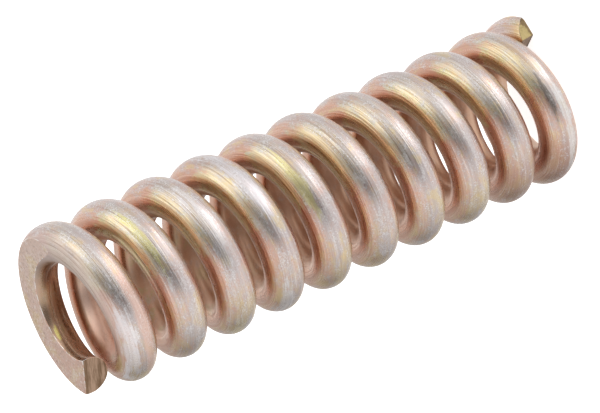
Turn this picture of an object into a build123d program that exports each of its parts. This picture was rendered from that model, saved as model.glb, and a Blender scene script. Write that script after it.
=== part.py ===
from build123d import *
import os
from math import atan2, cos, radians, sin, tan, tau

# A compression spring: one length of round steel wire wound right-handed about +Z, with both end
# coils closed up and ground flat. It stands on its lower ground face. The origin is on the coil
# axis in the plane of that face, +Z runs up the axis, and the wire starts at +X. Millimetres.

# Wire and coil
WIRE_DIAMETER = 4.0
MEAN_DIAMETER = 13.6            # across the coil, from wire centre to wire centre
FREE_LENGTH = 58.0
TOTAL_TURNS = 10.57

# Lower end, where winding starts: it stays closed up, then eases to the working pitch
LOWER_CLOSED_TURNS = 0.70
LOWER_EASING_TURNS = 0.24
LOWER_CLOSED_PITCH = 4.0
LOWER_TIP_THICKNESS = 1.66      # of the wire that grinding leaves at the tip
LOWER_TIP_FLARE = 0.3           # how far the tip springs outward
LOWER_FLARE_TURNS = 0.25

# Upper end: flatter, and it opens to the working pitch more sharply
UPPER_CLOSED_TURNS = 0.38
UPPER_EASING_TURNS = 0.12
UPPER_CLOSED_PITCH = 2.2
UPPER_TIP_THICKNESS = 2.5

# Cuts across the wire, as slopes back from the furthest point of each tip
LOWER_RIDGE_OFFSET = 0.5        # outward from the wire's centre: the cutter left a blunt wedge
LOWER_INNER_SLOPE = tan(radians(27))
LOWER_OUTER_SLOPE = tan(radians(52))
UPPER_CUT_SLOPE = tan(radians(28))   # one straight cut, the inside of the coil left longer
TIP_ROUNDING = 0.5              # where the cutter pressed the lower tip's outer edge over

POINTS_PER_TURN = 12

wire_radius = WIRE_DIAMETER / 2
coil_radius = MEAN_DIAMETER / 2
lower_closed = LOWER_CLOSED_TURNS + LOWER_EASING_TURNS / 2
upper_closed = UPPER_CLOSED_TURNS + UPPER_EASING_TURNS / 2
lower_tip_height = LOWER_TIP_THICKNESS - wire_radius
upper_tip_height = FREE_LENGTH - UPPER_TIP_THICKNESS + wire_radius
closed_rise = LOWER_CLOSED_PITCH * lower_closed + UPPER_CLOSED_PITCH * upper_closed
working_turns = TOTAL_TURNS - lower_closed - upper_closed
working_pitch = (upper_tip_height - lower_tip_height - closed_rise) / working_turns
helix_slope = working_pitch / (tau * coil_radius)


def eased(x):
    """Smooth step: 0 up to x = 0, and 1 from x = 1."""
    t = min(max(x, 0), 1)
    return t * t * (3 - 2 * t)


def eased_sum(x):
    """The smooth step added up from 0 to x."""
    t = min(max(x, 0), 1)
    return t**3 - t**4 / 2 + max(x - 1, 0)


def climb(turns, closed_turns, easing_turns, closed_pitch):
    """Rise over so many turns from a tip: at the closed pitch first, then at the working pitch."""
    opened = easing_turns * eased_sum((turns - closed_turns) / easing_turns)
    return closed_pitch * turns + (working_pitch - closed_pitch) * opened


def lower_climb(turns):
    return climb(turns, LOWER_CLOSED_TURNS, LOWER_EASING_TURNS, LOWER_CLOSED_PITCH)


def upper_climb(turns):
    return climb(turns, UPPER_CLOSED_TURNS, UPPER_EASING_TURNS, UPPER_CLOSED_PITCH)


def wire_centre(turns):
    """The wire's centre, so many turns from the lower tip."""
    angle = tau * turns
    radius = coil_radius + LOWER_TIP_FLARE * eased(1 - turns / LOWER_FLARE_TURNS)
    lost_below = working_pitch * turns - lower_climb(turns)
    rise = upper_climb(TOTAL_TURNS) - upper_climb(TOTAL_TURNS - turns) - lost_below
    return Vector(radius * cos(angle), radius * sin(angle), lower_tip_height + rise)


def tip_plane(turns, onward, height):
    """A plane beside a tip, parallel to the next coil: x runs outward, y out of the wire's end.

    onward is 1 where that end looks up the helix, and -1 where it looks down it.
    """
    angle = tau * turns
    centre = wire_centre(turns)
    outward = Vector(cos(angle), sin(angle), 0)
    along = Vector(-sin(angle), cos(angle), helix_slope) * onward
    return Plane(origin=(centre.X, centre.Y, height), x_dir=outward, z_dir=outward.cross(along))


# The wire is wound a little past each tip, for the cutters to take off
lower_overrun = 0.006
upper_overrun = atan2(wire_radius * UPPER_CUT_SLOPE, coil_radius - wire_radius) / tau
path_turns = TOTAL_TURNS + lower_overrun + upper_overrun
steps = round(path_turns * POINTS_PER_TURN)
centres = [wire_centre(path_turns * i / steps - lower_overrun) for i in range(steps + 1)]

# Each cutter starts in the gap between its tip and the next coil
lower_gap = wire_centre(1).Z - wire_centre(0).Z - WIRE_DIAMETER
upper_gap = wire_centre(TOTAL_TURNS).Z - wire_centre(TOTAL_TURNS - 1).Z - WIRE_DIAMETER
lower_cut_height = wire_centre(0).Z + wire_radius + 0.7 * lower_gap
upper_cut_height = wire_centre(TOTAL_TURNS).Z - wire_radius - 0.7 * upper_gap
cutter_half_width = 1.3 * wire_radius
cutter_reach = 1.4 * wire_radius

with BuildPart() as spring:
    with BuildLine() as wire_path:
        Spline(*centres)
    with BuildSketch(Plane(origin=wire_path.line @ 0, z_dir=wire_path.line % 0)):
        Circle(wire_radius)
    sweep(path=wire_path.line, is_frenet=True)

    # Both ends ground flat, square to the axis
    split(bisect_by=Plane.XY, keep=Keep.TOP)
    split(bisect_by=Plane.XY.offset(FREE_LENGTH), keep=Keep.BOTTOM)

    # Upper tip cut straight across at a slant
    with BuildSketch(tip_plane(TOTAL_TURNS, 1, upper_cut_height)):
        with BuildLine():
            Polyline(
                (-cutter_half_width, cutter_half_width * UPPER_CUT_SLOPE),
                (cutter_half_width, -cutter_half_width * UPPER_CUT_SLOPE),
                (cutter_half_width, cutter_reach),
                (-cutter_half_width, cutter_reach),
                close=True,
            )
        make_face()
    extrude(amount=WIRE_DIAMETER, mode=Mode.SUBTRACT)

    # Lower tip left as a blunt wedge
    inner_set_back = (cutter_half_width + LOWER_RIDGE_OFFSET) * LOWER_INNER_SLOPE
    outer_set_back = (cutter_half_width - LOWER_RIDGE_OFFSET) * LOWER_OUTER_SLOPE
    with BuildSketch(tip_plane(0, -1, lower_cut_height)):
        with BuildLine():
            Polyline(
                (-cutter_half_width, -inner_set_back),
                (LOWER_RIDGE_OFFSET, 0),
                (cutter_half_width, -outer_set_back),
                (cutter_half_width, cutter_reach),
                (-cutter_half_width, cutter_reach),
                close=True,
            )
        make_face()
    extrude(amount=WIRE_DIAMETER, mode=Mode.SUBTRACT)
    tip_facets = spring.faces().filter_by(GeomType.PLANE)
    outer_facet = tip_facets.sort_by(lambda facet: facet.normal_at().X)[-1]
    fillet(outer_facet.edges().filter_by(GeomType.LINE, reverse=True), radius=TIP_ROUNDING)

spring.part.label = "spring"
os.makedirs("parts", exist_ok=True)
export_step(spring.part, "parts/spring.step")
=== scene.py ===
from math import atan2, ceil, cos, pi, radians, sin, tan, tau

import bmesh
import bpy
from bpy.props import FloatProperty, FloatVectorProperty, IntProperty, PointerProperty
from mathutils import Matrix, Vector


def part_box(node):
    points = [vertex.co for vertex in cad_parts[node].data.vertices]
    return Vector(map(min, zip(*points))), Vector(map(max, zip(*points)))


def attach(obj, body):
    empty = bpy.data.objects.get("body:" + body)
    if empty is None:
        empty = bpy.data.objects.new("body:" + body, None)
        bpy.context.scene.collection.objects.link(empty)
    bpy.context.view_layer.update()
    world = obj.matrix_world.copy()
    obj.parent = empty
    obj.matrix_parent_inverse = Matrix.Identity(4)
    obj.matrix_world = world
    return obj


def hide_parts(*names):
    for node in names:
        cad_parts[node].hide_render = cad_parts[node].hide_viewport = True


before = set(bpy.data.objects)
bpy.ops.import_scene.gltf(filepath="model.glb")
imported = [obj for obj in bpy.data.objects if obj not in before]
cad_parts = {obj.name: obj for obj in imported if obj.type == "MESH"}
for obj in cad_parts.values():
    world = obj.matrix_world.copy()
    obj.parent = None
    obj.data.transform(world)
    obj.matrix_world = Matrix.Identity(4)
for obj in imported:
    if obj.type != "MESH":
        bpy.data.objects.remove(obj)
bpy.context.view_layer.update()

bl_info = {
    "name": "Plated Compression Spring",
    "version": (1, 0, 0),
    "blender": (4, 5, 0),
    "location": "3D View > Sidebar > Spring",
    "description": "Winds, grinds and plates a compression spring, and lights it in a plain studio",
    "category": "Add Mesh",
}

SPRING_LOW, SPRING_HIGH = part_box("spring")
MM = 0.001
WIRE_COORDS = "wire_coords"      # straightened wire: distance along it, outward and up from its centre
WIRE, GROUND, CUT, EDGE = range(4)       # the spring's material slots, in order
SHARP = radians(27)      # edges of the worked faces that turn more than this are broken
CREASED = radians(30)    # edges that turn more than this aren't shaded smooth
ON_PLANE = 1e-7          # what lies nearer than this to a cutter's plane counts as on it

# What like properties share
LENGTH = {"subtype": "DISTANCE", "unit": "LENGTH", "precision": 5}
ANGLE = {"subtype": "ANGLE", "unit": "ROTATION"}
COLOUR = {"subtype": "COLOR", "min": 0, "max": 1}


# ---------------------------------------------------------------- what a user would change


class SpringSizes(bpy.types.PropertyGroup):
    """The spring's own dimensions."""

    wire_diameter: FloatProperty(
        name="Wire diameter", description="Diameter of the round wire",
        default=4 * MM, min=0.5 * MM, **LENGTH)
    mean_diameter: FloatProperty(
        name="Mean diameter", description="Across the coil, from wire centre to wire centre",
        default=13.6 * MM, min=2 * MM, **LENGTH)
    free_length: FloatProperty(
        name="Free length", description="Between the two ground ends",
        default=SPRING_HIGH.z - SPRING_LOW.z, min=5 * MM, **LENGTH)
    total_turns: FloatProperty(
        name="Total turns", description="Turns of wire from tip to tip", default=10.57, min=3)
    lower_closed_turns: FloatProperty(
        name="Lower closed turns", description="Turns at the lower end's own pitch", default=0.70, min=0)
    lower_easing_turns: FloatProperty(
        name="Lower easing", description="Turns over which the lower end opens to the working pitch",
        default=0.24, min=0.01)
    lower_closed_pitch: FloatProperty(
        name="Lower closed pitch", description="Rise in a turn at the lower end",
        default=4.0 * MM, **LENGTH)
    lower_tip_thickness: FloatProperty(
        name="Lower tip thickness", description="Wire that grinding leaves at the lower tip",
        default=1.66 * MM, **LENGTH)
    lower_tip_flare: FloatProperty(
        name="Lower tip flare", description="How far the lower tip springs outward",
        default=0.3 * MM, **LENGTH)
    lower_flare_turns: FloatProperty(
        name="Lower flare turns", description="Turns over which the lower tip springs outward", default=0.25)
    upper_closed_turns: FloatProperty(
        name="Upper closed turns", description="Turns at the upper end's own pitch", default=0.38, min=0)
    upper_easing_turns: FloatProperty(
        name="Upper easing", description="Turns over which the upper end opens to the working pitch",
        default=0.12, min=0.01)
    upper_closed_pitch: FloatProperty(
        name="Upper closed pitch", description="Rise in a turn at the upper end",
        default=2.2 * MM, **LENGTH)
    upper_tip_thickness: FloatProperty(
        name="Upper tip thickness", description="Wire that grinding leaves at the upper tip",
        default=2.5 * MM, **LENGTH)
    lower_ridge_offset: FloatProperty(
        name="Lower ridge offset", description="Ridge of the tip's wedge, outward from the wire's centre",
        default=0.5 * MM, **LENGTH)
    lower_inner_slope: FloatProperty(
        name="Lower inner slant", description="Slant of the lower tip's inner facet",
        default=radians(27), **ANGLE)
    lower_outer_slope: FloatProperty(
        name="Lower outer slant", description="Slant of the lower tip's outer facet",
        default=radians(52), **ANGLE)
    upper_cut_slope: FloatProperty(
        name="Upper cut slant", description="Slant of the cut across the upper tip",
        default=radians(28), **ANGLE)
    lower_corner_offset: FloatProperty(
        name="Lower corner offset", description="Blunted outer corner, outward from the wire's centre",
        default=1.26 * MM, **LENGTH)
    lower_corner_slope: FloatProperty(
        name="Lower corner slant", description="Slant of the lower tip's blunted outer corner",
        default=radians(76), **ANGLE)
    edge_width: FloatProperty(
        name="Edge width", description="Width of the bright broken edge round ground and cut faces",
        default=0.07 * MM, **LENGTH)
    steps_per_turn: IntProperty(
        name="Steps per turn", description="Rings of the mesh in one turn", default=84, min=12, max=96)
    sides: IntProperty(
        name="Sides", description="Sides of the mesh round the wire", default=56, min=12, max=64)


class SpringFinish(bpy.types.PropertyGroup):
    """Colours of the passivated zinc plating and of the worked ends."""

    plating: FloatVectorProperty(
        name="Plating", description="Main colour of the plating, a rosy tan",
        default=(0.75, 0.465, 0.355), **COLOUR)
    # Partly a painted highlight: this light straw is laid where the left softbox's highlight falls
    straw: FloatVectorProperty(
        name="Straw", description="Yellow-green bloom and painted highlight of the plating",
        default=(0.84, 0.74, 0.46), **COLOUR)
    silver: FloatVectorProperty(
        name="Silver", description="Where handling has thinned the plating",
        default=(0.60, 0.55, 0.55), **COLOUR)
    # Painted shade: a darker colour for the inner side of the wire, where the coils shade each other
    inner_painted_shade: FloatVectorProperty(
        name="Inner painted shade", description="Painted shade, darker plating inside the coil",
        default=(0.62, 0.40, 0.28), **COLOUR)
    ground: FloatVectorProperty(
        name="Ground face", description="Plating over the ground ends",
        default=(0.74, 0.565, 0.48), **COLOUR)
    cut: FloatVectorProperty(
        name="Cut face", description="Plating over the cut tips",
        default=(0.24, 0.15, 0.09), **COLOUR)


class StudioSettings(bpy.types.PropertyGroup):
    """Camera and lights."""

    azimuth: FloatProperty(
        name="Azimuth", description="Camera's turn about the spring's axis; 0 looks along +Y",
        default=radians(40.105), **ANGLE)
    elevation: FloatProperty(
        name="Elevation", description="Camera's height above the horizon",
        default=radians(26.11), **ANGLE)
    roll: FloatProperty(
        name="Roll", description="Camera's turn about its own axis",
        default=radians(-114.667), **ANGLE)
    distance: FloatProperty(
        name="Distance", description="From the camera to the point it aims at",
        default=0.30283, **LENGTH)
    aim: FloatVectorProperty(
        name="Aim", description="Point the camera aims at",
        default=(-0.347 * MM, 0.314 * MM, 30.01 * MM), subtype="XYZ", unit="LENGTH", precision=5)
    lens: FloatProperty(
        name="Lens", description="Focal length in millimetres on a 36 mm sensor", default=181.5, min=20)
    lamp_distance: FloatProperty(
        name="Lamp distance", description="From the lamps to the point the camera aims at",
        default=0.6, **LENGTH)


# ---------------------------------------------------------------- materials


class Value:
    """An output of a node. Arithmetic on it adds Math nodes to its tree."""

    def __init__(self, shading, socket):
        self.shading = shading
        self.socket = socket

    def math(self, operation, *others):
        inputs = dict(enumerate((self, *others)))
        return self.shading.node("ShaderNodeMath", {"operation": operation}, inputs)

    def reflected(self, operation, other):
        return self.shading.node("ShaderNodeMath", {"operation": operation}, {0: other, 1: self})

    def __add__(self, other):
        return self.math("ADD", other)

    def __sub__(self, other):
        return self.math("SUBTRACT", other)

    def __mul__(self, other):
        return self.math("MULTIPLY", other)

    def __truediv__(self, other):
        return self.math("DIVIDE", other)

    def __rsub__(self, other):
        return self.reflected("SUBTRACT", other)

    def __rtruediv__(self, other):
        return self.reflected("DIVIDE", other)

    __radd__ = __add__
    __rmul__ = __mul__

    def ramp(self, low, high):
        """0 below low and 1 above high, with a smooth rise between; falls instead if low is above high."""
        return self.shading.node(
            "ShaderNodeMapRange", {"interpolation_type": "SMOOTHSTEP"},
            {"Value": self, "From Min": low, "From Max": high, "To Min": 0.0, "To Max": 1.0})


class Shading:
    """A node tree being written."""

    # The Mix node's colour sockets share their names with its other ones, so they go by number
    MIX_FIRST, MIX_SECOND, MIX_RESULT = 6, 7, 2

    def __init__(self, tree):
        self.tree = tree

    def node(self, kind, settings=(), inputs=(), output=0):
        """Adds a node: its settings first, then its inputs, as values or links. Returns one output."""
        made = self.tree.nodes.new(kind)
        for name, value in dict(settings).items():
            setattr(made, name, value)
        for name, value in dict(inputs).items():
            self.feed(made.inputs[name], value)
        return Value(self, made.outputs[output])

    def feed(self, socket, value):
        if isinstance(value, Value):
            self.tree.links.new(value.socket, socket)
        else:
            socket.default_value = value

    def mix(self, factor, first, second, blend="MIX"):
        """A colour between two, each a link or a plain colour."""
        first, second = (c if isinstance(c, Value) else (*c[:3], 1) for c in (first, second))
        return self.node(
            "ShaderNodeMix", {"data_type": "RGBA", "blend_type": blend},
            {"Factor": factor, self.MIX_FIRST: first, self.MIX_SECOND: second}, output=self.MIX_RESULT)

    def coats(self, colour, layers):
        """A colour with others laid over it in turn. Each layer is how much of it there is, and its tint."""
        for share, tint in layers:
            colour = self.mix(share, colour, tint)
        return colour

    def toned(self, share, colour, tone):
        """A colour multiplied by a tone, as much as its share says."""
        return self.mix(share, colour, self.mix(1.0, colour, tone, "MULTIPLY"))

    def stretched(self, vector, scale):
        """A vector with each part scaled, so that a noise on it is drawn out where the scale is small."""
        return self.node("ShaderNodeVectorMath", {"operation": "MULTIPLY"}, {0: vector, 1: scale})

    def noise(self, vector, scale, detail=3.0, roughness=0.6, distortion=0.0):
        return self.node("ShaderNodeTexNoise", {}, {
            "Vector": vector, "Scale": scale, "Detail": detail, "Roughness": roughness,
            "Distortion": distortion})

    def attribute(self, name):
        return self.node("ShaderNodeAttribute", {"attribute_name": name}, output="Vector")

    def parts(self, vector):
        made = self.tree.nodes.new("ShaderNodeSeparateXYZ")
        self.feed(made.inputs[0], vector)
        return [Value(self, out) for out in made.outputs]

    def bump(self, height, distance, strength=1.0, normal=None):
        inputs = {"Height": height, "Distance": distance, "Strength": strength}
        if normal is not None:
            inputs["Normal"] = normal
        return self.node("ShaderNodeBump", {}, inputs)


class Surface(Shading):
    """A material being written round its shader. What is the same all over goes straight on the shader."""

    def __init__(self, name, **uniform):
        self.material = bpy.data.materials.new(name)
        self.material.use_nodes = True
        super().__init__(self.material.node_tree)
        self.shader = self.tree.nodes["Principled BSDF"]
        self.shade(**uniform)

    def shade(self, **inputs):
        for name, value in inputs.items():
            self.feed(self.shader.inputs[name.replace("_", " ")], value)

    def finish(self, shader):
        self.feed(self.tree.nodes["Material Output"].inputs["Surface"], shader)


# Single worn and tinted spots on the wire: distance from the lower tip and reach along the wire in mm,
# lean above outward and reach round the wire in degrees, and tint
SPOTS = (
    (420.5, 5.5, 42, 34, (0.92, 0.88, 0.90)),      # silver, below the upper flat
    (422.0, 8.0, -16, 24, (0.80, 0.55, 0.46)),     # rosy beside it
    (417.3, 2.2, 84, 14, (0.80, 0.66, 0.32)),      # yellow at its other side
    (449.2, 1.4, 167, 7, (0.82, 0.73, 0.24)),      # yellow, on the flat's inner rim
    (385.5, 3.5, 30, 16, (0.72, 0.66, 0.26)),
    (341.5, 5.0, 14, 24, (0.84, 0.80, 0.80)),
    (330.8, 1.8, 16, 22, (0.78, 0.66, 0.40)),
    (301.0, 5.5, 2, 26, (0.80, 0.77, 0.80)),
    (288.2, 3.5, 24, 24, (0.84, 0.80, 0.80)),
    (255.4, 4.0, 32, 18, (0.78, 0.70, 0.30)),
    (34.5, 7.0, -12, 18, (0.80, 0.78, 0.76)),      # grey, on the lowest coil
    (37.4, 3.0, 20, 10, (0.22, 0.18, 0.16)),       # a dark patch across it
    (4.5, 4.0, 66, 40, (0.66, 0.56, 0.56)),        # lilac, behind the lower tip
)


class WirePlating(Surface):
    """The zinc plating of the drawn wire, being written. Its masks run from 0 to 1."""

    def __init__(self, wire_radius):
        super().__init__("plated_wire", Metallic=1.0)
        # Place on the wire: mm along it, outward and up as shares of its radius, and the lean of the two
        straight = self.attribute(WIRE_COORDS)
        along, outward, up = self.parts(straight)
        self.distance = along / MM
        self.out_share = outward / wire_radius
        self.up_share = up / wire_radius
        self.lean = up.math("ARCTAN2", outward)
        # Place on the spring: mm above the lower flat, and bearing from the axis
        east, north, height = self.parts(self.node("ShaderNodeTexCoord", output="Object"))
        self.height = height / MM
        self.azimuth = north.math("ARCTAN2", east)

        # Noises, the coarsest first. A small scale along the wire draws one out into lines.
        self.clouds = self.noise(self.stretched(straight, (1.0, 2.0, 2.0)), 330, 4.0)
        self.drift = self.noise(self.stretched(straight, (0.5, 1.0, 1.0)), 620, 4.0, 0.65, 0.4)
        self.blotches = self.noise(self.stretched(straight, (0.6, 1.0, 1.0)), 1300, 5.0, 0.65)
        self.streaks = self.noise(self.stretched(straight, (0.02, 1.0, 1.0)), 3800, 4.0)
        self.hairlines = self.noise(self.stretched(straight, (0.03, 1.0, 1.0)), 6000)
        self.grit = self.noise(straight, 6500)
        # Their swing to either side of the middle
        self.cloudy, self.blotchy, self.streaky, self.hairy, self.gritty = (
            noise - 0.5 for noise in (self.clouds, self.blotches, self.streaks, self.hairlines, self.grit))

        # Round the wire: its inner and outer sides, and the shoulder that the bloom and its painted
        # highlight lie on
        self.inside = self.out_share.ramp(-0.3, -0.9)
        self.outside = self.out_share.ramp(-0.4, 0.2)
        self.shoulder = (self.up_share * 0.8 + self.out_share * 0.5).ramp(0.30, 0.90)
        # Painted highlight: the side of the spring where the left softbox's highlight falls
        self.highlight_side = self.facing(-18, 10, 52)
        # Outermost, handling has thinned the colour to silver; scuffs break it further
        self.rubbed = (self.out_share + 0.7 * self.cloudy + 1.2 * self.blotchy + 0.6 * self.gritty
                       - 0.12 * self.distance.ramp(95, 25)).ramp(0.40, 1.10)
        self.scuffed = (self.blotches + 0.5 * self.cloudy + 0.25 * self.gritty).ramp(0.57, 0.66)
        # Inside the upper flat's own turn the wire is smoother, and painted shade darkens it brown
        self.painted_shade_upper_inside = self.inside * self.distance.ramp(428, 440)
        # The grinder's scuffing runs on a little past the upper flat
        self.dressed = self.height.ramp(55.6, 57.4) * self.up_share.ramp(0.35, 0.9)
        self.drawn = self.streaks.ramp(0.34, 0.60)

    def facing(self, bearing, near, far):
        """1 less than near degrees from a bearing of the spring, and 0 more than far degrees from it."""
        return (self.azimuth - radians(bearing)).math("ABSOLUTE").ramp(radians(far), radians(near))

    def plating(self, finish):
        """Rosy tan with painted shade inside the coil, and bloom (partly a painted highlight), silver and
        other tints over it in patches.
        """
        # Straw bloom along one side of the spring, here and there green; partly a painted highlight, laid
        # where the left softbox's highlight falls
        bloom_and_highlight = self.shoulder * (self.highlight_side + 1.6 * self.cloudy + 1.2 * self.blotchy).ramp(0.30, 0.80)
        green = bloom_and_highlight * (self.blotches + 0.4 * self.streaky).ramp(0.50, 0.58)
        # Straw that has strayed or pooled on the outside, and olive on the inside of the upper coils
        stray = self.drift.ramp(0.54, 0.62) * self.out_share.ramp(-0.2, 0.3)
        pooled = (self.drift + 0.5 * self.blotchy).ramp(0.43, 0.35) * self.out_share.ramp(0.2, 0.7)
        olive = (self.out_share.ramp(-0.1, -0.7) * self.drift.ramp(0.48, 0.60)
                 * self.height.ramp(30, 48))
        # Away from the bloom the colour is sallow in patches, and painted shade darkens the lowest coils
        aside = self.facing(-115, 15, 45)
        sallow = aside * self.drift.ramp(0.58, 0.44) * self.out_share.ramp(0.1, 0.5)
        painted_shade_low = aside * self.distance.ramp(105, 60)
        # Painted highlight: inside, the coil under the upper flat is lighter and rosier
        painted_inner_highlight = self.inside * self.distance.ramp(390, 400) * self.distance.ramp(422, 414)

        # Painted shade: the inner side of the wire turns to the darker inner colour
        colour = self.mix(self.out_share.ramp(0.3, -0.7), finish.plating, finish.inner_painted_shade)
        return self.coats(colour, (
            (olive * 0.6, (0.50, 0.43, 0.24)),
            (stray * 0.55, (0.80, 0.63, 0.36)),
            # Straw bloom, partly a painted highlight
            (bloom_and_highlight * 0.8, finish.straw),
            (green * 0.6, (0.74, 0.72, 0.34)),
            (self.rubbed * 0.9, finish.silver),
            (self.scuffed * 0.2, (0.72, 0.68, 0.68)),
            (pooled * 0.5, (0.78, 0.64, 0.36)),
            # Painted highlight inside the coil under the upper flat
            (painted_inner_highlight * 0.85, (0.95, 0.66, 0.54)),
            # Painted shade inside the upper flat's own turn
            (self.painted_shade_upper_inside * (0.4 + 0.5 * self.drawn), (0.42, 0.28, 0.19)),
            (sallow * 0.55, (0.76, 0.59, 0.32)),
            # Painted shade on the lowest coils, away from the bloom
            (painted_shade_low * 0.65, (0.50, 0.28, 0.21)),
        ))

    def spotted(self, colour):
        """A colour with the single spots over it, their outlines broken by the noises."""
        broken = 2.4 * self.blotchy + 2.0 * self.hairy
        for distance, reach, lean, spread, tint in SPOTS:
            ahead = (self.distance - distance) / reach
            around = (self.lean - radians(lean)) / radians(spread)
            spot = (1 - ahead * ahead - around * around + broken).ramp(0.0, 0.7)
            colour = self.mix(spot * 0.7, colour, tint)
        return colour

    def worked(self, colour):
        """A colour with the marks of drawing, grinding and handling over it."""
        gilded = self.distance.ramp(4, 1) * self.up_share.ramp(0.1, 0.6)
        grooved = self.hairlines.ramp(0.50, 0.38) * self.shoulder * (0.25 + 0.75 * self.highlight_side)
        specked = (self.grit + 0.5 * self.blotchy).ramp(0.56, 0.66) * (0.2 + 0.8 * self.rubbed)
        scratched = (self.hairy.math("ABSOLUTE").ramp(0.035, 0.0) * self.streaks.ramp(0.45, 0.6)
                     * self.outside)
        pitted = (self.grit + 0.3 * self.cloudy).ramp(0.40, 0.32)

        colour = self.coats(colour, (
            (gilded * 0.6, (0.80, 0.62, 0.28)),
            (self.dressed * 0.8, (0.66, 0.55, 0.52)),
        ))
        colour = self.toned((1 - self.drawn) * 0.15 * self.outside, colour, (0.60, 0.48, 0.42))
        colour = self.toned(grooved * 0.55, colour, (0.50, 0.36, 0.26))
        return self.coats(colour, (
            (specked * 0.45, (0.90, 0.88, 0.88)),
            (scratched * 0.4, (0.95, 0.90, 0.84)),
            (pitted * 0.25, (0.28, 0.20, 0.15)),
        ))

    def roughness(self):
        return (0.16 + 0.2 * self.dressed + 0.12 * self.clouds + 0.10 * (1 - self.drawn)
                + 0.12 * self.scuffed + 0.05 * self.grit + 0.12 * self.inside * (1 - self.painted_shade_upper_inside))

    def relief(self):
        """Draw lines, which fade on the inner side of the coil that nothing has rubbed, and a fine grain."""
        depth = 0.1 + 0.2 * self.outside + 0.7 * self.out_share.ramp(-0.2, 0.6)
        lines = self.bump((self.streaks + self.hairlines) * depth, 0.05 * MM, 0.8)
        return self.bump(self.grit, 0.006 * MM, 0.6, lines)


def plated_wire(finish, wire_radius):
    """Zinc-plated drawn wire: rosy tan with straw bloom, partly a painted highlight, silvery where it is
    rubbed, with draw lines.
    """
    s = WirePlating(wire_radius)
    colour = s.worked(s.spotted(s.plating(finish)))
    s.shade(Base_Color=colour, Roughness=s.roughness(), Normal=s.relief())
    return s.material


def ground_end(finish):
    """The ground flats: matt, with fine grinding marks and specks, and rosier towards the upper tip."""
    s = Surface("ground_end", Metallic=1.0)
    place = s.node("ShaderNodeTexCoord", output="Object")
    along = s.parts(s.attribute(WIRE_COORDS))[0] / MM
    patches = s.noise(place, 420, 4.0)
    grit = s.noise(place, 3800, 4.0, 0.7)
    scratches = s.noise(s.stretched(place, (1.0, 0.12, 1.0)), 5200)

    rosy = (along + 12 * (patches - 0.5)).ramp(438, 452)
    specked = (grit + 0.3 * (patches - 0.5)).ramp(0.52, 0.62)
    pitted = grit.ramp(0.45, 0.36)
    colour = s.coats(finish.ground, (
        (rosy * 0.85, (0.70, 0.47, 0.375)),
        (patches.ramp(0.48, 0.62) * 0.5, (0.74, 0.59, 0.30)),
        (scratches.ramp(0.4, 0.6) * 0.3, (0.64, 0.53, 0.48)),
        (specked * 0.5, (0.86, 0.80, 0.80)),
        (pitted * 0.35, (0.22, 0.16, 0.13)),
    ))
    relief = s.bump(scratches + grit, 0.02 * MM, 0.6)
    s.shade(Base_Color=colour, Roughness=0.40 + 0.16 * scratches, Normal=relief)
    return s.material


def cut_face(finish):
    """Faces left by the cutter: duller and dragged across; the lower tip's are golden, darker towards their
    rims.
    """
    s = Surface("cut_face", Metallic=1.0)
    straight = s.attribute(WIRE_COORDS)
    along, outward, up = (part / MM for part in s.parts(straight))
    dragged = s.noise(s.stretched(straight, (0.05, 0.08, 1.0)), 3000, 4.0, 0.7)
    stains = s.noise(straight, 2300, 4.0, 0.7)

    lower_tip = along.ramp(8, 6)
    golden = lower_tip * outward.ramp(0.4, 0.6)
    # Darker towards the rims of the lower tip's facets, in patches
    darker_rims = lower_tip * (up.ramp(1.0, 0.4) + outward.ramp(1.3, 1.8) + 3.0 * (stains - 0.5)).ramp(0.30, 0.90)
    colour = s.coats(finish.cut, (
        (dragged.ramp(0.40, 0.60), (0.50, 0.34, 0.24)),
        (stains.ramp(0.55, 0.70) * 0.25, (0.30, 0.20, 0.13)),
        (golden * 0.8, (0.44, 0.36, 0.16)),
        (golden * stains.ramp(0.50, 0.60) * 0.4, (0.26, 0.20, 0.09)),
        (darker_rims * 0.75, (0.16, 0.10, 0.06)),
    ))
    relief = s.bump(dragged, 0.04 * MM, 0.7)
    s.shade(Base_Color=colour, Roughness=0.40 + 0.15 * stains, Normal=relief)
    return s.material


def broken_edge(finish):
    """The narrow bright edge round ground and cut faces, brown at the lower tip."""
    s = Surface("broken_edge", Metallic=1.0)
    along = s.parts(s.attribute(WIRE_COORDS))[0] / MM
    worn = s.noise(s.node("ShaderNodeTexCoord", output="Object"), 1600)
    colour = s.mix(worn.ramp(0.40, 0.60), (0.95, 0.92, 0.88), finish.plating)
    colour = s.mix(along.ramp(3, 1), colour, (0.30, 0.21, 0.13))
    s.shade(Base_Color=colour, Roughness=0.30 + 0.2 * worn)
    return s.material


# ---------------------------------------------------------------- the spring


def eased(x):
    """Smooth step: 0 up to x = 0, and 1 from x = 1."""
    t = min(max(x, 0), 1)
    return t * t * (3 - 2 * t)


def eased_sum(x):
    """The smooth step added up from 0 to x."""
    t = min(max(x, 0), 1)
    return t**3 - t**4 / 2 + max(x - 1, 0)


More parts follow.
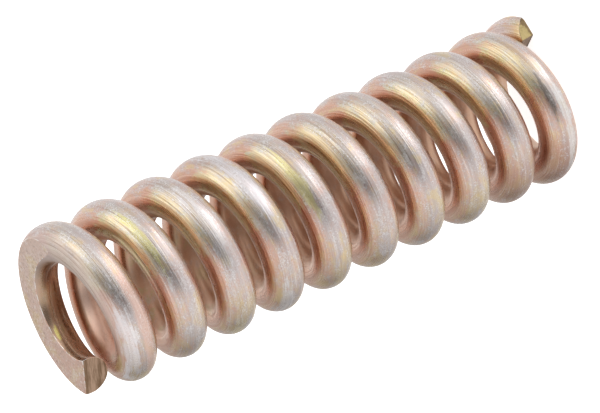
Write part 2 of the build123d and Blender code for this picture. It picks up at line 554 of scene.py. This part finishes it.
class Winding:
    """Where the wire's centre runs, worked out from the spring's sizes."""

    def __init__(self, sizes):
        self.sizes = s = sizes
        self.wire_radius = s.wire_diameter / 2
        self.coil_radius = s.mean_diameter / 2
        lower_closed = s.lower_closed_turns + s.lower_easing_turns / 2
        upper_closed = s.upper_closed_turns + s.upper_easing_turns / 2
        self.lower_tip_height = s.lower_tip_thickness - self.wire_radius
        upper_tip_height = s.free_length - s.upper_tip_thickness + self.wire_radius
        closed_rise = s.lower_closed_pitch * lower_closed + s.upper_closed_pitch * upper_closed
        working_turns = s.total_turns - lower_closed - upper_closed
        self.working_pitch = (upper_tip_height - self.lower_tip_height - closed_rise) / working_turns
        self.helix_slope = self.working_pitch / (tau * self.coil_radius)

        # Stations are the places of the mesh's rings, so many to a turn, a little past each tip
        overrun = atan2(self.wire_radius * tan(s.upper_cut_slope), self.coil_radius - self.wire_radius) / tau
        self.first = -1
        self.last = ceil((s.total_turns + overrun) * s.steps_per_turn)
        self.coil_start = ceil((s.lower_closed_turns + s.lower_easing_turns) * s.steps_per_turn)
        self.coils = int(s.total_turns - s.upper_closed_turns - s.upper_easing_turns
                         - self.turns(self.coil_start))
        self.along = {self.first: 0.0}
        for station in range(self.first, self.last):
            step = self.centre(self.turns(station + 1)) - self.centre(self.turns(station))
            self.along[station + 1] = self.along[station] + step.length

    def turns(self, station):
        return station / self.sizes.steps_per_turn

    def climb(self, turns, closed_turns, easing_turns, closed_pitch):
        """Rise over so many turns from a tip."""
        opened = easing_turns * eased_sum((turns - closed_turns) / easing_turns)
        return closed_pitch * turns + (self.working_pitch - closed_pitch) * opened

    def lower_climb(self, turns):
        s = self.sizes
        return self.climb(turns, s.lower_closed_turns, s.lower_easing_turns, s.lower_closed_pitch)

    def upper_climb(self, turns):
        s = self.sizes
        return self.climb(turns, s.upper_closed_turns, s.upper_easing_turns, s.upper_closed_pitch)

    def radius(self, turns):
        s = self.sizes
        return self.coil_radius + s.lower_tip_flare * eased(1 - turns / s.lower_flare_turns)

    def height(self, turns):
        total = self.sizes.total_turns
        lost_below = self.working_pitch * turns - self.lower_climb(turns)
        rise = self.upper_climb(total) - self.upper_climb(total - turns) - lost_below
        return self.lower_tip_height + rise

    def centre(self, turns):
        angle = tau * turns
        return Vector((self.radius(turns) * cos(angle), self.radius(turns) * sin(angle), self.height(turns)))

    def tilt(self, turns):
        """Angle of the wire above the level."""
        reach = 0.002        # turns to either side
        return atan2(self.height(turns + reach) - self.height(turns - reach),
                     2 * reach * tau * self.radius(turns))


def once(elements):
    """Elements without their repeats, in the order they came in."""
    return list(dict.fromkeys(elements))


def patch(faces):
    """Faces together with their edges and corners."""
    return faces + once(e for f in faces for e in f.edges) + once(v for f in faces for v in f.verts)


def wind(bm, winding, first, last, capped=False):
    """Winds a ring of the wire's section round the axis, step by step, from one station to another."""
    layer = bm.verts.layers.float_vector[WIRE_COORDS]
    others = set(bm.faces)
    start = winding.turns(first)
    ring = bmesh.ops.create_circle(
        bm, cap_ends=False, radius=winding.wire_radius, segments=winding.sizes.sides)["verts"]
    for v in ring:
        v[layer] = Vector((winding.along[first], v.co.x, v.co.y))
    upright = Matrix.Rotation(pi / 2 + winding.tilt(start), 3, "X")
    bmesh.ops.rotate(bm, verts=ring, cent=(0, 0, 0), matrix=upright)
    bmesh.ops.translate(bm, verts=ring, vec=(winding.radius(start), 0, winding.height(start)))
    bmesh.ops.rotate(bm, verts=ring, cent=(0, 0, 0), matrix=Matrix.Rotation(tau * start, 3, "Z"))
    edges = once(e for v in ring for e in v.link_edges)
    if capped:
        bmesh.ops.contextual_create(bm, geom=ring)

    way = 1 if last > first else -1
    for station in range(first, last, way):
        before, after = winding.turns(station), winding.turns(station + way)
        swept = bmesh.ops.spin(
            bm, geom=ring + edges, cent=(0, 0, 0), axis=(0, 0, 1), angle=tau * (after - before), steps=1,
            dvec=(0, 0, winding.height(after) - winding.height(before)),
            use_merge=False, use_normal_flip=False, use_duplicate=False)["geom_last"]
        ring = [g for g in swept if isinstance(g, bmesh.types.BMVert)]
        edges = [g for g in swept if isinstance(g, bmesh.types.BMEdge)]
        outward = Vector((cos(tau * after), sin(tau * after), 0))
        bmesh.ops.translate(bm, verts=ring, vec=outward * (winding.radius(after) - winding.radius(before)))
        bmesh.ops.rotate(bm, verts=ring, cent=winding.centre(after),
                         matrix=Matrix.Rotation(winding.tilt(after) - winding.tilt(before), 3, outward))
        for v in ring:
            v[layer] = Vector((winding.along[station + way], v[layer].y, v[layer].z))
    return patch([f for f in bm.faces if f not in others])


def wind_wire(bm, winding):
    """The whole wire: both ends and one working coil are wound, and that coil is repeated up the axis."""
    layer = bm.verts.layers.float_vector.new(WIRE_COORDS)
    per_turn = winding.sizes.steps_per_turn
    coil_start, coils = winding.coil_start, winding.coils
    coil = wind(bm, winding, coil_start, coil_start + per_turn)
    wind(bm, winding, winding.first, coil_start, capped=True)
    wind(bm, winding, winding.last, coil_start + coils * per_turn, capped=True)
    wire_in_coil = winding.along[coil_start + per_turn] - winding.along[coil_start]
    for i in range(1, coils):
        copied = [g for g in bmesh.ops.duplicate(bm, geom=coil)["geom"] if isinstance(g, bmesh.types.BMVert)]
        bmesh.ops.translate(bm, verts=copied, vec=(0, 0, winding.working_pitch * i))
        for v in copied:
            v[layer] = v[layer] + Vector((wire_in_coil * i, 0, 0))
    bmesh.ops.remove_doubles(bm, verts=bm.verts, dist=winding.wire_radius / 1000)
    bmesh.ops.recalc_face_normals(bm, faces=bm.faces)


def slice_off(bm, geom, point, normal, slot):
    """Cuts geom at a plane, clears what lies on the normal's side and closes the cut with one face."""
    cut = bmesh.ops.bisect_plane(bm, geom=geom, dist=ON_PLANE, plane_co=point, plane_no=normal,
                                 clear_outer=True, clear_inner=False)["geom_cut"]
    rim = [g for g in cut if isinstance(g, bmesh.types.BMEdge)]
    for face in bmesh.ops.contextual_create(bm, geom=rim)["faces"]:
        face.material_index = slot


def tip_part(bm, start, end):
    """The faces of one tip, with their edges and corners, between two distances along the wire."""
    layer = bm.verts.layers.float_vector[WIRE_COORDS]
    return patch([f for f in bm.faces if all(start <= v[layer].x <= end for v in f.verts)])


def cut_tips(bm, winding):
    """Cuts the upper tip, then the lower tip's two facets and its blunted outer corner.

    The cutters stand parallel to the next coil, level with a point in the gap between it and the tip, and
    each one reaches only its own tip.
    """
    sizes, r = winding.sizes, winding.wire_radius
    total = sizes.total_turns
    part_way = 0.7       # how far across the gap that point lies, from the tip
    lower_gap = winding.height(1) - winding.height(0) - sizes.wire_diameter
    upper_gap = winding.height(total) - winding.height(total - 1) - sizes.wire_diameter
    lower_level = winding.height(0) + r + part_way * lower_gap
    upper_level = winding.height(total) - r - part_way * upper_gap
    lower_reach = (-r, 2 * r)
    upper_reach = (winding.along[winding.last] - 2 * r, winding.along[winding.last] + r)
    for turns, onward, level, offset, slant, reach in (
        (total, 1, upper_level, 0, sizes.upper_cut_slope, upper_reach),
        (0, -1, lower_level, sizes.lower_ridge_offset, -sizes.lower_inner_slope, lower_reach),
        (0, -1, lower_level, sizes.lower_ridge_offset, sizes.lower_outer_slope, lower_reach),
        (0, -1, lower_level, sizes.lower_corner_offset, sizes.lower_corner_slope, lower_reach),
    ):
        angle = tau * turns
        outward = Vector((cos(angle), sin(angle), 0))
        ahead = Vector((-sin(angle), cos(angle), winding.helix_slope)).normalized() * onward
        centre = winding.centre(turns)
        point = Vector((centre.x, centre.y, level)) + outward * offset
        normal = (ahead * cos(slant) + outward * sin(slant)).normalized()
        slice_off(bm, tip_part(bm, *reach), point, normal, CUT)


def grind_ends(bm, free_length):
    """Grinds both ends flat, square to the axis."""
    for height, way in ((0, -1), (free_length, 1)):
        everything = bm.verts[:] + bm.edges[:] + bm.faces[:]
        slice_off(bm, everything, Vector((0, 0, height)), Vector((0, 0, way)), GROUND)


def break_edges(bm, width):
    """Only just breaks the sharp edges round the worked faces, apart from the shortest."""
    rims = [e for e in bm.edges if len(e.link_faces) == 2
            and any(f.material_index != WIRE for f in e.link_faces) and e.calc_face_angle(0) > SHARP
            and e.calc_length() > 1.5 * width]
    bmesh.ops.bevel(bm, geom=rims, offset=width, offset_type="WIDTH", affect="EDGES", segments=2,
                    profile=0.5, material=EDGE, clamp_overlap=False, loop_slide=True)
    bmesh.ops.recalc_face_normals(bm, faces=bm.faces)


def make_spring(sizes, finish):
    """The spring: its wire wound, its tips cut, its ends ground and their edges broken."""
    winding = Winding(sizes)
    bm = bmesh.new()
    wind_wire(bm, winding)
    cut_tips(bm, winding)
    grind_ends(bm, sizes.free_length)
    break_edges(bm, sizes.edge_width)
    for face in bm.faces:
        face.smooth = face.material_index in (WIRE, EDGE)
    for edge in bm.edges:
        edge.smooth = edge.calc_face_angle(0) < CREASED

    mesh = bpy.data.meshes.new("coiled_wire")
    bm.to_mesh(mesh)
    bm.free()
    for material in (
        plated_wire(finish, winding.wire_radius), ground_end(finish), cut_face(finish), broken_edge(finish)
    ):
        mesh.materials.append(material)
    piece = bpy.data.objects.new("coiled_wire", mesh)
    bpy.context.collection.objects.link(piece)
    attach(piece, "root")
    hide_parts("spring")
    return piece


class SPRING_OT_wind(bpy.types.Operator):
    """Wind, cut, grind and plate the spring."""

    bl_idname = "spring.wind"
    bl_label = "Wind the Spring"

    def execute(self, context):
        piece = make_spring(context.scene.spring_sizes, context.scene.spring_finish)
        if len(piece.data.polygons) == 0:
            raise RuntimeError("the spring came out empty")
        return {"FINISHED"}


# ---------------------------------------------------------------- the stage


FLOOR_REACH = 3.0        # from the spring to the floor's edge, in metres
FLOOR_TONE = 0.86
FLOOR_GLOW = 0.85        # added for the camera alone, so that the floor is white to it

# The lamps: name, direction in the camera's own frame (right, up, back towards the camera), size, radiance
SOFTBOXES = (
    ("left_softbox", (-0.80, 0.42, 0.42), (0.55, 0.50), 0.55),
    ("right_softbox", (0.565, 0.767, 0.303), (0.36, 0.36), 1.0),
)


def make_floor():
    """A plain white floor that keeps the spring's shadow. Reflections look past it to the studio's white."""
    bm = bmesh.new()
    bmesh.ops.create_grid(bm, x_segments=1, y_segments=1, size=FLOOR_REACH)
    mesh = bpy.data.meshes.new("floor")
    bm.to_mesh(mesh)
    bm.free()
    floor = bpy.data.objects.new("floor", mesh)
    bpy.context.collection.objects.link(floor)

    s = Surface("floor_white", Base_Color=(FLOOR_TONE, FLOOR_TONE, FLOOR_TONE, 1), Roughness=0.9)
    seen = s.node("ShaderNodeLightPath", output="Is Camera Ray")
    bounced = s.node("ShaderNodeLightPath", output="Is Diffuse Ray")
    glow = s.node("ShaderNodeEmission", {}, {"Color": (1, 1, 1, 1), "Strength": seen * FLOOR_GLOW})
    white = s.node("ShaderNodeAddShader", {}, {0: Value(s, s.shader.outputs[0]), 1: glow})
    clear = s.node("ShaderNodeBsdfTransparent")
    s.finish(s.node("ShaderNodeMixShader", {}, {0: seen.math("MAXIMUM", bounced), 1: clear, 2: white}))
    mesh.materials.append(s.material)


def make_world(turn):
    """White to the camera. In reflections it is a pale room that darkens towards some of its sides."""
    world = bpy.data.worlds.new("studio")
    world.use_nodes = True
    s = Shading(world.node_tree)
    direction = s.node("ShaderNodeTexCoord", output="Generated")

    def towards(*axis):
        """How far a direction points along an axis of the camera's frame: right, up, back."""
        return s.node("ShaderNodeVectorMath", {"operation": "DOT_PRODUCT"},
                      {0: direction, 1: (turn @ Vector(axis)).normalized()}, output="Value")

    right, up, back = towards(1, 0, 0), towards(0, 1, 0), towards(0, 0, 1)
    # The dark of the room round the camera is an oval, wider than it is high and a little low
    across, upright = right * 1.15, (up + 0.10) * 2.0
    room = (across * across + upright * upright).ramp(1.3, 0.2) * back.ramp(0.0, 0.4)
    # Below the spring, then beyond it below and above, then at the left
    low = up.ramp(-0.45, -0.95) * back.ramp(0.5, -0.5)
    under = up.ramp(-0.05, -0.35) * back.ramp(-0.35, -0.75)
    above = up.ramp(0.45, 0.85) * back.ramp(0.1, -0.4)
    left = right.ramp(-0.35, -0.90)
    level = 1.02 - 0.75 * room - 0.45 * low - 0.50 * under - 0.18 * above - 0.13 * left

    seen = s.node("ShaderNodeLightPath", output="Is Camera Ray")
    background = world.node_tree.nodes["Background"]
    s.feed(background.inputs["Color"], (1, 1, 1, 1))
    s.feed(background.inputs["Strength"], level * (1 - seen) + seen)
    bpy.context.scene.world = world


def softbox(name, turn, aim, direction, reach, size, radiance):
    """A rectangular area light that faces the point the camera aims at, and that the camera doesn't see."""
    light = bpy.data.lights.new(name, "AREA")
    light.shape = "RECTANGLE"
    light.size, light.size_y = size
    light.energy = radiance * pi * light.size * light.size_y
    lamp = bpy.data.objects.new(name, light)
    lamp.visible_camera = False
    bpy.context.collection.objects.link(lamp)
    away = (turn @ Vector(direction)).normalized()
    facing = away.to_track_quat("Z", "Y").to_matrix().to_4x4()
    lamp.matrix_world = Matrix.Translation(aim + away * reach) @ facing


class SPRING_OT_stage(bpy.types.Operator):
    """Set the floor, the world, the lights and the camera."""

    bl_idname = "spring.stage"
    bl_label = "Set the Stage"

    def execute(self, context):
        studio = context.scene.spring_studio
        turn = (Matrix.Rotation(studio.azimuth, 3, "Z") @ Matrix.Rotation(pi / 2 - studio.elevation, 3, "X")
                @ Matrix.Rotation(studio.roll, 3, "Z"))
        aim = Vector(studio.aim)

        lens = bpy.data.cameras.new("camera")
        lens.lens = studio.lens
        lens.sensor_width = 36
        lens.clip_start, lens.clip_end = 0.01, 20
        camera = bpy.data.objects.new("camera", lens)
        context.collection.objects.link(camera)
        camera.matrix_world = (Matrix.Translation(aim) @ turn.to_4x4()
                               @ Matrix.Translation((0, 0, studio.distance)))
        context.scene.camera = camera
        context.scene.view_settings.view_transform = "Standard"

        make_floor()
        make_world(turn)
        for name, direction, size, radiance in SOFTBOXES:
            softbox(name, turn, aim, direction, studio.lamp_distance, size, radiance)
        return {"FINISHED"}


class SPRING_PT_panel(bpy.types.Panel):
    """Sizes, finish and studio of the spring."""

    bl_label = "Spring"
    bl_idname = "SPRING_PT_panel"
    bl_space_type = "VIEW_3D"
    bl_region_type = "UI"
    bl_category = "Spring"

    def draw(self, context):
        for title, group in (("Sizes", context.scene.spring_sizes), ("Finish", context.scene.spring_finish),
                             ("Studio", context.scene.spring_studio)):
            box = self.layout.box()
            box.label(text=title)
            for name in type(group).__annotations__:
                box.prop(group, name)
        self.layout.operator(SPRING_OT_wind.bl_idname)
        self.layout.operator(SPRING_OT_stage.bl_idname)


CLASSES = (SpringSizes, SpringFinish, StudioSettings, SPRING_OT_wind, SPRING_OT_stage, SPRING_PT_panel)


def register():
    for cls in CLASSES:
        bpy.utils.register_class(cls)
    bpy.types.Scene.spring_sizes = PointerProperty(type=SpringSizes)
    bpy.types.Scene.spring_finish = PointerProperty(type=SpringFinish)
    bpy.types.Scene.spring_studio = PointerProperty(type=StudioSettings)


def unregister():
    del bpy.types.Scene.spring_studio
    del bpy.types.Scene.spring_finish
    del bpy.types.Scene.spring_sizes
    for cls in reversed(CLASSES):
        bpy.utils.unregister_class(cls)


def main():
    register()
    bpy.ops.spring.wind()
    bpy.ops.spring.stage()


if __name__ == "__main__":
    main()
